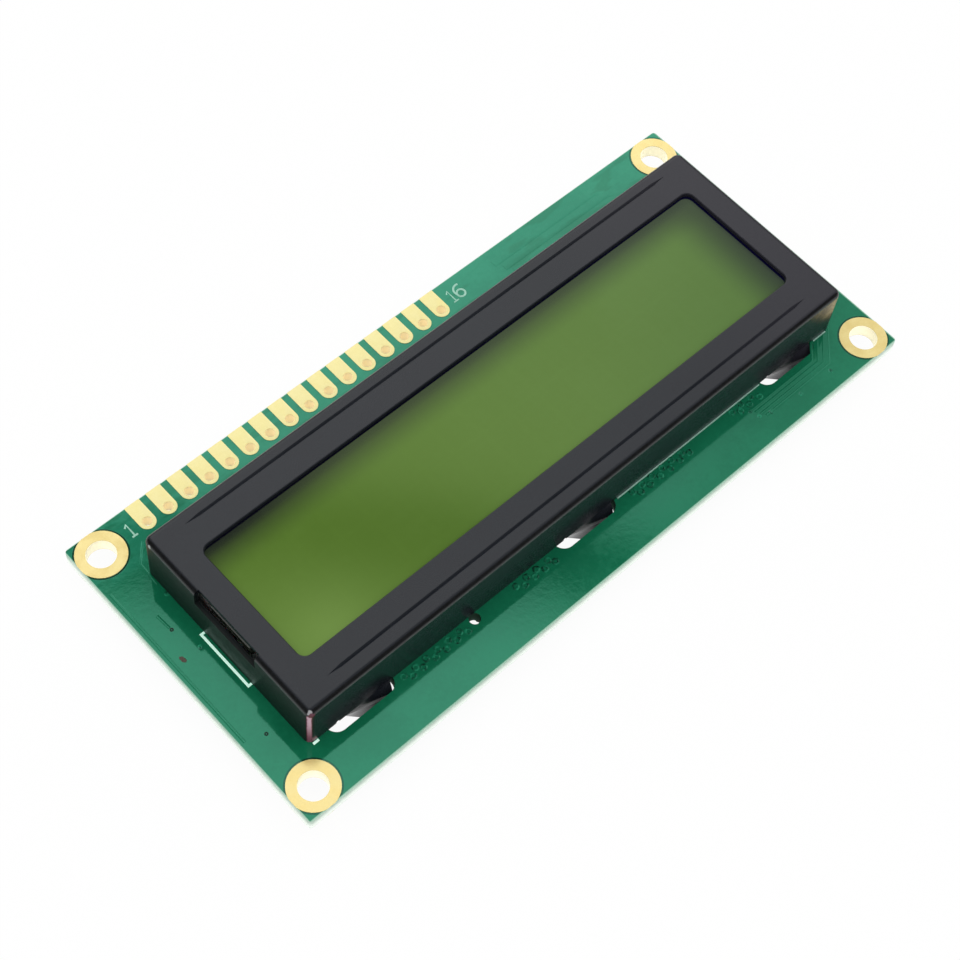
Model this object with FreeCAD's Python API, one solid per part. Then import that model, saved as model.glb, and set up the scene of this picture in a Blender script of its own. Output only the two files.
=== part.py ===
import FreeCAD, Part
import math
import os

# Character display module with two lines of sixteen characters.
# Millimetres. The origin is the centre of the mounting hole pattern on the
# back face of the circuit board. +X runs from header hole 1 to header hole 16,
# +Y points at the header edge and +Z points out of the display.

# Circuit board
board_length = 80.0
board_width = 36.0
board_thickness = 1.6
board_corner_radius = 0.4
copper_thickness = 0.05
print_thickness = 0.02

# Mounting holes, plated, with a bare ring on both faces
mount_edge_distance = 2.5
mount_hole_diameter = 3.0
mount_ring_diameter = 5.1

# Header holes along the +Y edge
header_count = 16
header_pitch = 2.54
header_end_distance = 8.0
header_edge_distance = 2.5
header_hole_diameter = 1.0
header_pad_width = 1.75

# Pressed steel bezel
bezel_length = 71.1
bezel_width = 23.7
bezel_centre_x = 0.29
bezel_centre_y = -0.41
sheet_thickness = 0.5
bend_radius = 0.6
bezel_corner_radius = 0.75
window_length = 64.7
window_width = 14.7
window_corner_radius = 0.9
window_edge_radius = 0.12
window_centre_x = 0.375
window_centre_y = -0.31
groove_spacing = 20.25
groove_length = 63.6
groove_width = 0.34
groove_depth = 0.15
groove_taper = 1.6
groove_offset_y = 0.16

# Notch in the -X wall that frees the fill port seal
notch_length = 8.6
notch_centre_y = -0.4
notch_depth = 2.1
notch_reach = 0.6

# Twisted tabs and the board slots that they pass through
tab_spacing = 29.0
tabs_per_side = 3
tab_width = 6.1
tab_tip_width = 5.2
tab_offset_x = 0.45
tab_drop = 2.2
tab_slot_twist = 16.0
tab_slot_turn_depth = 0.9
tab_tip_twist = 47.0
tab_steps = 5
relief_width = 0.4
relief_height = 0.3
slot_length = 7.9
slot_width = 2.4
peg_hole_diameter = 1.2
peg_hole_x = -15.2
peg_hole_overhang = 0.5

# Display cell
fill_end_gap = 0.75
plain_end_gap = 0.3
glass_side_gap = 0.25
contact_ledge = 3.0
glass_thickness = 1.1
cell_gap = 0.05
seal_inset = 0.4
seal_width = 1.0
fill_port_width = 3.0
front_polariser_thickness = 0.2
rear_polariser_thickness = 0.25
polariser_margin = 0.5
end_bead_length = 6.0
end_bead_height = 1.5
end_bead_reach = 0.55

# Edge lit backlight in its moulded tray
tray_wall = 0.7
tray_floor = 0.3
reflector_thickness = 0.15
guide_thickness = 2.6
diffuser_thickness = 0.15
film_clearance = 0.1
led_board_thickness = 0.5
led_board_margin = 0.8
led_count = 3
led_spacing = 4.6
led_depth = 1.0
led_width = 3.0
led_height = 1.5
led_notch_width = 2.2
led_notch_height = 0.9
led_notch_depth = 0.3
lead_diameter = 0.4
lead_spacing = 10.0
lead_hole_clearance = 0.15
lead_tail = 0.7
lead_pad_diameter = 2.0
solder_height = 0.55
solder_tip_diameter = 0.7

# Elastomer strips and the board contacts under them
strip_length = 62.0
strip_width = 1.9
strip_gap = 0.2
contact_count = 44
contact_pitch = 1.38
contact_width = 0.8
contact_margin = 0.1

# Chips under resin on the back of the board
blob_spacing = 32.0
blob_centre_x = -2.0
blob_centre_y = -1.0
controller_blob_diameter = 15.0
controller_blob_height = 1.5
driver_blob_diameter = 13.0
driver_blob_height = 1.35
die_thickness = 0.35
controller_die_length = 4.6
controller_die_width = 3.8
driver_die_length = 4.0
driver_die_width = 3.0

# Chip parts on the back of the board
chip_row_wall_distance = 2.7
resistor_length = 2.0
resistor_width = 1.25
resistor_height = 0.5
resistor_cap_length = 0.4
resistor_row_count = 8
resistor_row_pitch = 3.4
resistor_row_x = -27.5
resistor_pair_x = 30.0
resistor_pair_spacing = 3.0
capacitor_length = 2.0
capacitor_width = 1.3
capacitor_height = 0.95
capacitor_cap_length = 0.45
capacitor_count = 3
capacitor_pitch = 4.2
capacitor_x = 8.5

# Printed marks on the top face of the board
print_line_width = 0.26
outline_line_width = 0.14
bracket_length = 6.9
bracket_centre_y = -0.68
bracket_reach = 0.4
outline_gap = 0.02
print_ring_clearance = 0.15
outline_start_x = 4.4
corner_mark_length = 1.7
corner_tick_inset = 0.5
corner_tick_length = 0.4

# Heights that follow from the stack between board and bezel
board_top = board_thickness
tray_base = board_top
reflector_base = tray_base + tray_floor
guide_base = reflector_base + reflector_thickness
diffuser_base = guide_base + guide_thickness
rear_polariser_base = diffuser_base + diffuser_thickness
rear_glass_base = rear_polariser_base + rear_polariser_thickness
cell_base = rear_glass_base + glass_thickness
front_glass_base = cell_base + cell_gap
front_polariser_base = front_glass_base + glass_thickness
bezel_underside = front_polariser_base + front_polariser_thickness
bezel_top = bezel_underside + sheet_thickness

# Plan positions shared by several pieces
mount_spacing_x = board_length - 2 * mount_edge_distance
mount_spacing_y = board_width - 2 * mount_edge_distance
header_first_x = header_end_distance - board_length / 2
bezel_left = bezel_centre_x - bezel_length / 2
bezel_right = bezel_centre_x + bezel_length / 2
bezel_front = bezel_centre_y - bezel_width / 2
bezel_rear = bezel_centre_y + bezel_width / 2
front_wall_middle = bezel_front + sheet_thickness / 2
rear_wall_middle = bezel_rear - sheet_thickness / 2
chip_row_y = rear_wall_middle - chip_row_wall_distance
glass_left = bezel_left + sheet_thickness + fill_end_gap
glass_right = bezel_right - sheet_thickness - plain_end_gap
glass_length = glass_right - glass_left
front_glass_width = bezel_width - 2 * (sheet_thickness + glass_side_gap)
rear_glass_width = front_glass_width - 2 * contact_ledge
cell_x = (glass_left + glass_right) / 2
cell_y = bezel_centre_y
tray_inner_length = glass_length - 2 * tray_wall
tray_inner_width = rear_glass_width - 2 * tray_wall
led_board_right = cell_x + tray_inner_length / 2 - film_clearance
led_board_left = led_board_right - led_board_thickness
guide_right = led_board_left - led_depth
guide_left = cell_x - tray_inner_length / 2 + film_clearance
guide_length = guide_right - guide_left
guide_centre_x = (guide_left + guide_right) / 2
guide_width = tray_inner_width - 2 * film_clearance
lead_x = (led_board_left + led_board_right) / 2
strip_offset = rear_glass_width / 2 + strip_gap + strip_width / 2


def vector(x, y, z):
    return FreeCAD.Vector(x, y, z)


def block(length, width, height, x, y, base):
    """A box centred on x and y that stands on base."""
    corner = vector(x - length / 2, y - width / 2, base)
    return Part.makeBox(length, width, height, corner)


def cylinder(diameter, height, x, y, base):
    return Part.makeCylinder(diameter / 2, height, vector(x, y, base))


def edges_along_z(shape):
    found = []
    for edge in shape.Edges:
        start = edge.Vertexes[0].Point
        end = edge.Vertexes[-1].Point
        if abs(start.x - end.x) < 1e-6 and abs(start.y - end.y) < 1e-6:
            found.append(edge)
    return found


def edges_at_height(shape, height):
    found = []
    for edge in shape.Edges:
        box = edge.BoundBox
        if abs(box.ZMin - height) < 1e-6 and abs(box.ZMax - height) < 1e-6:
            found.append(edge)
    return found


def rounded_block(length, width, height, radius, x, y, base):
    """A box with its four upright edges rounded."""
    shape = block(length, width, height, x, y, base)
    return shape.makeFillet(radius, edges_along_z(shape))


def long_hole(length, width, height, x, y, base):
    """A slot along X with round ends, as a solid to cut with."""
    middle = block(length - width, width, height, x, y, base)
    left = cylinder(width, height, x - (length - width) / 2, y, base)
    right = cylinder(width, height, x + (length - width) / 2, y, base)
    return middle.fuse([left, right]).removeSplitter()


def mount_points():
    points = []
    for side_x in (-1, 1):
        for side_y in (-1, 1):
            points.append((side_x * mount_spacing_x / 2, side_y * mount_spacing_y / 2))
    return points


def header_points():
    y = board_width / 2 - header_edge_distance
    return [(header_first_x + header_pitch * i, y) for i in range(header_count)]


def slot_points():
    """Centres of the board slots under the front and rear walls."""
    points = []
    for y in (front_wall_middle, rear_wall_middle):
        for i in range(tabs_per_side):
            points.append((tab_spacing * (i - (tabs_per_side - 1) / 2), y))
    return points


def tab_points():
    return [(x + tab_offset_x, y) for x, y in slot_points()]


def lead_points():
    return [(lead_x, cell_y - lead_spacing / 2), (lead_x, cell_y + lead_spacing / 2)]


def plated_hole_diameter(bore):
    return bore + 2 * copper_thickness


def lead_bore():
    return lead_diameter + 2 * lead_hole_clearance


def circuit_board():
    board = rounded_block(
        board_length, board_width, board_thickness, board_corner_radius, 0, 0, 0
    )
    cuts = []
    for x, y in mount_points():
        cuts.append(cylinder(plated_hole_diameter(mount_hole_diameter), board_thickness, x, y, 0))
    for x, y in header_points():
        cuts.append(cylinder(plated_hole_diameter(header_hole_diameter), board_thickness, x, y, 0))
    for x, y in lead_points():
        cuts.append(cylinder(plated_hole_diameter(lead_bore()), board_thickness, x, y, 0))
    for x, y in slot_points():
        cuts.append(long_hole(slot_length, slot_width, board_thickness, x, y, 0))
    peg_y = bezel_front - peg_hole_overhang
    cuts.append(cylinder(peg_hole_diameter, board_thickness, peg_hole_x, peg_y, 0))
    return board.cut(cuts)


def hole_lining(bore, x, y, lands):
    """Copper lining of one hole, fused with its flat lands on the board faces."""
    outer = plated_hole_diameter(bore)
    height = board_thickness + 2 * copper_thickness
    lining = cylinder(outer, height, x, y, -copper_thickness)
    lining = lining.fuse(lands)
    return lining.cut(cylinder(bore, height, x, y, -copper_thickness)).removeSplitter()


def mounting_hole_plating():
    linings = []
    for x, y in mount_points():
        lands = []
        for base in (-copper_thickness, board_top):
            ring = cylinder(mount_ring_diameter, copper_thickness, x, y, base)
            panel = rounded_block(
                board_length, board_width, copper_thickness, board_corner_radius, 0, 0, base
            )
            lands.append(ring.common(panel))
        linings.append(hole_lining(mount_hole_diameter, x, y, lands))
    return Part.makeCompound(linings)


def header_pads():
    """Each land runs square to the board edge and ends round past the hole."""
    pads = []
    for x, y in header_points():
        lands = []
        for base in (-copper_thickness, board_top):
            straight = block(
                header_pad_width,
                header_edge_distance,
                copper_thickness,
                x,
                y + header_edge_distance / 2,
                base,
            )
            round_end = cylinder(header_pad_width, copper_thickness, x, y, base)
            lands.append(straight.fuse(round_end).removeSplitter())
        pads.append(hole_lining(header_hole_diameter, x, y, lands))
    return Part.makeCompound(pads)


def tab_angle(height):
    """The turn of a tab: a part of it inside the slot and the rest behind the board."""
    if height >= 0:
        return tab_slot_twist * min(1, (board_top - height) / tab_slot_turn_depth)
    return tab_slot_twist + (tab_tip_twist - tab_slot_twist) * -height / tab_drop


def bezel_tab(x, y):
    """A strip that leaves the wall at the board top and turns about its own middle."""
    heights = [board_top, board_top - tab_slot_turn_depth / 2, board_top - tab_slot_turn_depth, 0]
    heights += [-tab_drop * step / tab_steps for step in range(1, tab_steps + 1)]
    wires = []
    for height in heights:
        share = (board_top - height) / (board_top + tab_drop)
        half_width = (tab_width + (tab_tip_width - tab_width) * share) / 2
        angle = -math.radians(tab_angle(height))
        corners = []
        for side_x, side_y in ((-1, -1), (1, -1), (1, 1), (-1, 1)):
            local_x = side_x * half_width
            local_y = side_y * sheet_thickness / 2
            turned_x = local_x * math.cos(angle) - local_y * math.sin(angle)
            turned_y = local_x * math.sin(angle) + local_y * math.cos(angle)
            corners.append(vector(x + turned_x, y + turned_y, height))
        corners.append(corners[0])
        wires.append(Part.makePolygon(corners))
    return Part.makeLoft(wires, True, True)


def tab_relief(x, y):
    """The small cut with a round top that frees one side of a tab from the wall."""
    depth = 2 * sheet_thickness
    straight = relief_height - relief_width / 2
    lower = block(relief_width, depth, 2 * straight, x, y, board_top - straight)
    centre = vector(x, y - depth / 2, board_top + straight)
    upper = Part.makeCylinder(relief_width / 2, depth, centre, vector(0, 1, 0))
    return lower.fuse(upper)


def bezel_shell():
    """The folded tray of sheet, open at the board."""
    height = bezel_top - board_top
    outer = rounded_block(
        bezel_length, bezel_width, height, bezel_corner_radius, bezel_centre_x, bezel_centre_y, board_top
    )
    outer = outer.makeFillet(bend_radius, edges_at_height(outer, bezel_top))
    inner = rounded_block(
        bezel_length - 2 * sheet_thickness,
        bezel_width - 2 * sheet_thickness,
        height - sheet_thickness,
        bezel_corner_radius - sheet_thickness,
        bezel_centre_x,
        bezel_centre_y,
        board_top,
    )
    inner = inner.makeFillet(bend_radius - sheet_thickness, edges_at_height(inner, bezel_underside))
    return outer.cut(inner)


def bezel_window():
    opening = rounded_block(
        window_length,
        window_width,
        2 * sheet_thickness,
        window_corner_radius,
        window_centre_x,
        window_centre_y,
        bezel_underside - sheet_thickness / 2,
    )
    return opening


def window_edges(shape):
    found = []
    for edge in edges_at_height(shape, bezel_top):
        centre = edge.BoundBox.Center
        inside_x = abs(centre.x - window_centre_x) < window_length / 2 + window_edge_radius
        inside_y = abs(centre.y - window_centre_y) < window_width / 2 + window_edge_radius
        if inside_x and inside_y:
            found.append(edge)
    return found


def pressed_groove(x, y):
    """A straight groove with sloping sides and ends along the top face, as a solid to cut with."""
    bottom = bezel_top - groove_depth
    above = bottom + 2 * groove_depth
    rim = []
    deep = []
    for side in (-1, 1):
        end = x + side * groove_length / 2
        inner = end - side * groove_taper
        deep.append(vector(inner, y, bottom))
        rim.append(vector(inner, y - side * groove_width, above))
        rim.append(vector(end + side * groove_taper, y, above))
        rim.append(vector(inner, y + side * groove_width, above))
    left_rear, left_end, left_front, right_front, right_end, right_rear = rim
    outlines = [
        [left_rear, left_end, deep[0]],
        [left_end, left_front, deep[0]],
        [left_front, right_front, deep[1], deep[0]],
        [right_front, right_end, deep[1]],
        [right_end, right_rear, deep[1]],
        [right_rear, left_rear, deep[0], deep[1]],
        [left_rear, right_rear, right_end, right_front, left_front, left_end],
    ]
    faces = [Part.Face(Part.makePolygon(outline + outline[:1])) for outline in outlines]
    return Part.makeSolid(Part.makeShell(faces))


def bezel():
    shape = bezel_shell().cut(bezel_window())
    shape = shape.makeFillet(window_edge_radius, window_edges(shape))
    for side in (-1, 1):
        y = window_centre_y + groove_offset_y + side * groove_spacing / 2
        shape = shape.cut(pressed_groove(window_centre_x, y))
    notch_base = bezel_top - notch_depth
    notch = block(
        2 * notch_reach, notch_length, 2 * notch_depth, bezel_left, notch_centre_y, notch_base
    )
    shape = shape.cut(notch)
    for x, y in tab_points():
        for side in (-1, 1):
            shape = shape.cut(tab_relief(x + side * (tab_width + relief_width) / 2, y))
    tabs = [bezel_tab(x, y) for x, y in tab_points()]
    return shape.fuse(tabs).removeSplitter()


def film(length, width, thickness, x, y, base):
    return block(length, width, thickness, x, y, base)


def front_polariser():
    margin = 2 * polariser_margin
    return film(
        glass_length - margin,
        rear_glass_width - margin,
        front_polariser_thickness,
        cell_x,
        cell_y,
        front_polariser_base,
    )


def front_glass():
    return film(glass_length, front_glass_width, glass_thickness, cell_x, cell_y, front_glass_base)


def rear_glass():
    return film(glass_length, rear_glass_width, glass_thickness, cell_x, cell_y, rear_glass_base)


def fill_port():
    """The gap in the seal frame at the -X end, as a solid."""
    reach = seal_inset + seal_width
    return block(reach, fill_port_width, cell_gap, glass_left + reach / 2, cell_y, cell_base)


def cell_seal():
    inset = 2 * seal_inset
    outer = block(
        glass_length - inset, rear_glass_width - inset, cell_gap, cell_x, cell_y, cell_base
    )
    return outer.cut([liquid_crystal(), fill_port()])


def liquid_crystal():
    inset = 2 * (seal_inset + seal_width)
    return block(glass_length - inset, rear_glass_width - inset, cell_gap, cell_x, cell_y, cell_base)


def end_seal():
    """A bead of clear resin over the fill port, with the resin drawn into the port."""
    middle = cell_base + cell_gap / 2
    bead = block(
        2 * end_bead_reach,
        end_bead_length,
        end_bead_height,
        glass_left,
        cell_y,
        middle - end_bead_height / 2,
    )
    outer_edges = [edge for edge in bead.Edges if edge.BoundBox.XMax < glass_left]
    bead = bead.makeFillet(end_bead_reach * 0.8, outer_edges)
    behind = block(
        2 * end_bead_reach,
        2 * end_bead_length,
        2 * end_bead_height,
        glass_left + end_bead_reach,
        cell_y,
        middle - end_bead_height,
    )
    return bead.cut(behind).fuse(fill_port()).removeSplitter()


def rear_polariser():
    margin = 2 * film_clearance
    return film(
        tray_inner_length - margin,
        tray_inner_width - margin,
        rear_polariser_thickness,
        cell_x,
        cell_y,
        rear_polariser_base,
    )


def diffuser_film():
    return film(guide_length, guide_width, diffuser_thickness, guide_centre_x, cell_y, diffuser_base)


def light_guide():
    return film(guide_length, guide_width, guide_thickness, guide_centre_x, cell_y, guide_base)


def reflector_sheet():
    return film(guide_length, guide_width, reflector_thickness, guide_centre_x, cell_y, reflector_base)


def backlight_tray():
    height = rear_glass_base - tray_base
    outer = block(glass_length, rear_glass_width, height, cell_x, cell_y, tray_base)
    pocket = block(
        tray_inner_length, tray_inner_width, height, cell_x, cell_y, tray_base + tray_floor
    )
    holes = [cylinder(lead_bore(), tray_floor, x, y, tray_base) for x, y in lead_points()]
    return outer.cut([pocket] + holes)


def led_board():
    width = tray_inner_width - 2 * led_board_margin
    height = diffuser_base - reflector_base
    return block(led_board_thickness, width, height, lead_x, cell_y, reflector_base)


def led_bodies():
    """White packages with a shallow recess in the face that meets the light guide."""
    base = guide_base + (guide_thickness - led_height) / 2
    bodies = []
    for i in range(led_count):
        y = cell_y + led_spacing * (i - (led_count - 1) / 2)
        x = (guide_right + led_board_left) / 2
        body = block(led_depth, led_width, led_height, x, y, base)
        recess = block(
            2 * led_notch_depth,
            led_notch_width,
            led_notch_height,
            guide_right,
            y,
            base + (led_height - led_notch_height) / 2,
        )
        bodies.append(body.cut(recess))
    return Part.makeCompound(bodies)


def backlight_leads():
    height = reflector_base + lead_tail
    leads = [cylinder(lead_diameter, height, x, y, -lead_tail) for x, y in lead_points()]
    return Part.makeCompound(leads)


def lead_pads():
    pads = []
    for x, y in lead_points():
        land = cylinder(lead_pad_diameter, copper_thickness, x, y, -copper_thickness)
        outer = plated_hole_diameter(lead_bore())
        lining = cylinder(outer, board_thickness, x, y, 0)
        bore = cylinder(lead_bore(), board_thickness + copper_thickness, x, y, -copper_thickness)
        pads.append(lining.fuse(land).cut(bore).removeSplitter())
    return Part.makeCompound(pads)


def lead_solder():
    joints = []
    for x, y in lead_points():
        tip = vector(x, y, -copper_thickness - solder_height)
        cone = Part.makeCone(
            solder_tip_diameter / 2, lead_pad_diameter / 2, solder_height, tip
        )
        bore = cylinder(lead_diameter, solder_height, x, y, tip.z)
        joints.append(cone.cut(bore))
    return Part.makeCompound(joints)


def elastomer_strip(side):
    base = board_top + copper_thickness
    height = front_glass_base - base
    return block(strip_length, strip_width, height, cell_x, cell_y + side * strip_offset, base)


def strip_contacts():
    contacts = []
    width = strip_width - 2 * contact_margin
    for side in (-1, 1):
        for i in range(contact_count):
            x = cell_x + contact_pitch * (i - (contact_count - 1) / 2)
            y = cell_y + side * strip_offset
            contacts.append(block(contact_width, width, copper_thickness, x, y, board_top))
    return Part.makeCompound(contacts)


def chip_die(length, width, x):
    return block(length, width, die_thickness, x, blob_centre_y, -die_thickness)


def resin_blob(diameter, height, x, die):
    """Half an ellipse turned about the vertical, flat on the board, around its chip."""
    radius = diameter / 2
    curve = Part.Ellipse(vector(0, 0, 0), radius, height)
    curve.transform(FreeCAD.Matrix(1, 0, 0, 0, 0, 0, -1, 0, 0, 1, 0, 0, 0, 0, 0, 1))
    outline = curve.toShape(-math.pi / 2, 0)
    bottom = outline.Vertexes[0].Point
    rim = outline.Vertexes[-1].Point
    face_edges = [
        outline,
        Part.LineSegment(rim, vector(0, 0, 0)).toShape(),
        Part.LineSegment(vector(0, 0, 0), bottom).toShape(),
    ]
    face = Part.Face(Part.Wire(Part.__sortEdges__(face_edges)))
    dome = face.revolve(vector(0, 0, 0), vector(0, 0, 1), 360)
    dome.translate(vector(x, blob_centre_y, 0))
    return dome.cut(die)


def controller_x():
    return blob_centre_x - blob_spacing / 2


def driver_x():
    return blob_centre_x + blob_spacing / 2


def controller_die():
    return chip_die(controller_die_length, controller_die_width, controller_x())


def driver_die():
    return chip_die(driver_die_length, driver_die_width, driver_x())


def controller_blob():
    return resin_blob(
        controller_blob_diameter, controller_blob_height, controller_x(), controller_die()
    )


def driver_blob():
    return resin_blob(driver_blob_diameter, driver_blob_height, driver_x(), driver_die())


def resistor_points():
    points = []
    for i in range(resistor_row_count):
        points.append((resistor_row_x + resistor_row_pitch * i, chip_row_y))
    for side in (-1, 1):
        y = blob_centre_y + side * resistor_pair_spacing / 2
        points.append((resistor_pair_x, y))
    return points


def capacitor_points():
    return [(capacitor_x + capacitor_pitch * i, chip_row_y) for i in range(capacitor_count)]


def chip_bodies(points, length, width, height, cap):
    """The ceramic between the end caps of each chip part."""
    bodies = [block(length - 2 * cap, width, height, x, y, -height) for x, y in points]
    return Part.makeCompound(bodies)


def chip_caps(points, length, width, height, cap):
    caps = []
    for x, y in points:
        for side in (-1, 1):
            middle = x + side * (length - cap) / 2
            caps.append(block(cap, width, height, middle, y, -height))
    return Part.makeCompound(caps)


def resistor_bodies():
    return chip_bodies(
        resistor_points(), resistor_length, resistor_width, resistor_height, resistor_cap_length
    )


def resistor_caps():
    return chip_caps(
        resistor_points(), resistor_length, resistor_width, resistor_height, resistor_cap_length
    )


def capacitor_bodies():
    return chip_bodies(
        capacitor_points(), capacitor_length, capacitor_width, capacitor_height, capacitor_cap_length
    )


def capacitor_caps():
    return chip_caps(
        capacitor_points(), capacitor_length, capacitor_width, capacitor_height, capacitor_cap_length
    )


def print_stroke(x0, y0, x1, y1, thickness=print_line_width):
    """A printed line between two points along X or along Y, square at its ends."""
    length = abs(x1 - x0) + thickness
    width = abs(y1 - y0) + thickness
    return block(length, width, print_thickness, (x0 + x1) / 2, (y0 + y1) / 2, board_top)


def legend_marks():
    """The bracket beside the notch, and the outline and short marks along the front wall."""
    half = print_line_width / 2
    line_x = bezel_left - bracket_reach
    wall_x = bezel_left - half - outline_gap
    low = bracket_centre_y - bracket_length / 2
    high = bracket_centre_y + bracket_length / 2
    bracket = print_stroke(line_x, low, line_x, high)
    bracket = bracket.fuse(print_stroke(line_x, low, wall_x, low))
    bracket = bracket.fuse(print_stroke(line_x, high, wall_x, high))
    front_y = bezel_front - outline_line_width / 2 - outline_gap
    last_slot = slot_points()[tabs_per_side - 1][0]
    slot_clearance = slot_length / 2 + print_line_width
    front_end = last_slot - slot_clearance
    front_line = print_stroke(outline_start_x, front_y, front_end, front_y, outline_line_width)
    corner_x = last_slot + slot_clearance
    corner_end = corner_x + corner_mark_length
    corner = print_stroke(corner_x, front_y, corner_end, front_y, outline_line_width)
    tick_x = bezel_left + corner_tick_inset
    tick_y = bezel_front - half - outline_gap
    tick = print_stroke(tick_x, tick_y, tick_x + corner_tick_length, tick_y)
    keep_off_diameter = mount_ring_diameter + 2 * print_ring_clearance
    keep_off = [
        cylinder(keep_off_diameter, print_thickness, ring_x, ring_y, board_top)
        for ring_x, ring_y in mount_points()
    ]
    marks = [bracket, front_line, corner, tick]
    return Part.makeCompound([mark.removeSplitter().cut(keep_off) for mark in marks])


def all_parts():
    return {
        "circuit_board": circuit_board(),
        "mounting_hole_plating": mounting_hole_plating(),
        "header_pads": header_pads(),
        "legend_marks": legend_marks(),
        "bezel": bezel(),
        "front_polariser": front_polariser(),
        "front_glass": front_glass(),
        "cell_seal": cell_seal(),
        "liquid_crystal": liquid_crystal(),
        "end_seal": end_seal(),
        "rear_glass": rear_glass(),
        "rear_polariser": rear_polariser(),
        "diffuser_film": diffuser_film(),
        "light_guide": light_guide(),
        "reflector_sheet": reflector_sheet(),
        "backlight_tray": backlight_tray(),
        "led_board": led_board(),
        "led_bodies": led_bodies(),
        "backlight_leads": backlight_leads(),
        "lead_pads": lead_pads(),
        "lead_solder": lead_solder(),
        "elastomer_strip_front": elastomer_strip(-1),
        "elastomer_strip_rear": elastomer_strip(1),
        "strip_contacts": strip_contacts(),
        "controller_blob": controller_blob(),
        "controller_die": controller_die(),
        "driver_blob": driver_blob(),
        "driver_die": driver_die(),
        "resistor_bodies": resistor_bodies(),
        "resistor_caps": resistor_caps(),
        "capacitor_bodies": capacitor_bodies(),
        "capacitor_caps": capacitor_caps(),
    }


os.makedirs("parts", exist_ok=True)
for name, shape in all_parts().items():
    shape.exportStep("parts/" + name + ".step")
    print(name, len(shape.Solids), round(shape.Volume, 3), shape.isValid())
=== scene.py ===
import math
import random

import bpy
from mathutils import Matrix, Vector


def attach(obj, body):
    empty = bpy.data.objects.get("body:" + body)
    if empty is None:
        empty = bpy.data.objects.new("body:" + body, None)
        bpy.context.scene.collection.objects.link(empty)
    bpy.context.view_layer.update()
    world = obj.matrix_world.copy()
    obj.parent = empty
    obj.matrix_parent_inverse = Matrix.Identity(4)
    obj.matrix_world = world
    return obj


# Character display module. Lengths in the dictionaries are millimetres, in the frame of the CAD model.

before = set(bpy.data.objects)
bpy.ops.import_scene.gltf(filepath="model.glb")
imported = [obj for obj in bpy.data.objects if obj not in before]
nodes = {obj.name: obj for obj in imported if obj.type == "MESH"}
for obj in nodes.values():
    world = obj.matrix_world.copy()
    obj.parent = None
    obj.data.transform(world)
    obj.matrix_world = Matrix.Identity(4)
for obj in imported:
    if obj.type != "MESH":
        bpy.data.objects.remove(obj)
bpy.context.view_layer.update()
mm = 0.001
boardTop = 1.6
print("frame loaded:", len(nodes), "nodes")


# ways of selecting and finishing a piece

# a face whose normal reaches facingLimit along an axis counts as facing that way; the angles are in degrees
shaping = {"facingLimit": 0.9, "strokeAngle": 80, "smallPartAngle": 60}


def clearSelection():
    bpy.ops.object.select_all(action="DESELECT")


def selectOnly(thing):
    clearSelection()
    thing.select_set(True)
    bpy.context.view_layer.objects.active = thing


def editWhole():
    bpy.ops.object.mode_set(mode="EDIT")
    bpy.ops.mesh.select_all(action="SELECT")


def pickFaces(thing, axis, sign):
    # selects the faces that face along the axis, and leaves edit mode on
    selectOnly(thing)
    bpy.ops.object.mode_set(mode="EDIT")
    bpy.ops.mesh.select_mode(type="FACE")
    bpy.ops.mesh.select_all(action="DESELECT")
    bpy.ops.object.mode_set(mode="OBJECT")
    for face in thing.data.polygons:
        face.select = face.normal[axis] * sign > shaping["facingLimit"]
    bpy.ops.object.mode_set(mode="EDIT")


def leaveEditing():
    bpy.ops.object.mode_set(mode="OBJECT")


def copyTo(shape, places, turned=0.0):
    # one copy of the shape, with its own mesh, at each place, all joined into one piece
    spin = Matrix.Rotation(math.radians(turned), 4, "Z")
    copies = []
    for x, y, z in places:
        twin = shape.copy()
        twin.data = shape.data.copy()
        bpy.context.collection.objects.link(twin)
        twin.data.transform(Matrix.Translation((x * mm, y * mm, z * mm)) @ spin)
        copies.append(twin)
    clearSelection()
    for twin in copies:
        twin.select_set(True)
    bpy.context.view_layer.objects.active = copies[0]
    if len(copies) > 1:
        bpy.ops.object.join()
    bpy.data.objects.remove(shape)
    return bpy.context.view_layer.objects.active


def finishPiece(thing, name, finishName, smoothAngle):
    selectOnly(thing)
    bpy.ops.object.transform_apply(location=True, rotation=True, scale=True)
    bpy.ops.object.shade_smooth_by_angle(angle=math.radians(smoothAngle))
    thing.name = name
    thing.data.materials.clear()
    thing.data.materials.append(finishes[finishName])
    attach(thing, "root")


# node helpers

def addNode(tree, kind, wires=None, **settings):
    node = tree.nodes.new("ShaderNode" + kind)
    for key, value in settings.items():
        setattr(node, key, value)
    for key, value in (wires or {}).items():
        if isinstance(value, bpy.types.NodeSocket):
            tree.links.new(value, node.inputs[key])
        else:
            node.inputs[key].default_value = value
    return node


def opaque(color):
    return color if isinstance(color, bpy.types.NodeSocket) else (*color, 1)


def mixColor(tree, share, first, second, blend="MIX"):
    wires = {0: share, 6: opaque(first), 7: opaque(second)}
    return addNode(tree, "Mix", wires, data_type="RGBA", blend_type=blend).outputs[2]


def tintBy(tree, color, tint):
    return mixColor(tree, 1.0, color, tint, "MULTIPLY")


def mixValue(tree, share, first, second):
    return addNode(tree, "Mix", {0: share, 2: first, 3: second}, data_type="FLOAT").outputs[0]


def mathNode(tree, operation, first, second=0.0, clamped=False):
    return addNode(tree, "Math", {0: first, 1: second}, operation=operation, use_clamp=clamped).outputs[0]


def times(tree, first, *others):
    for other in others:
        first = mathNode(tree, "MULTIPLY", first, other)
    return first


def opposite(tree, share):
    return mathNode(tree, "SUBTRACT", 1.0, share)


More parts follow.
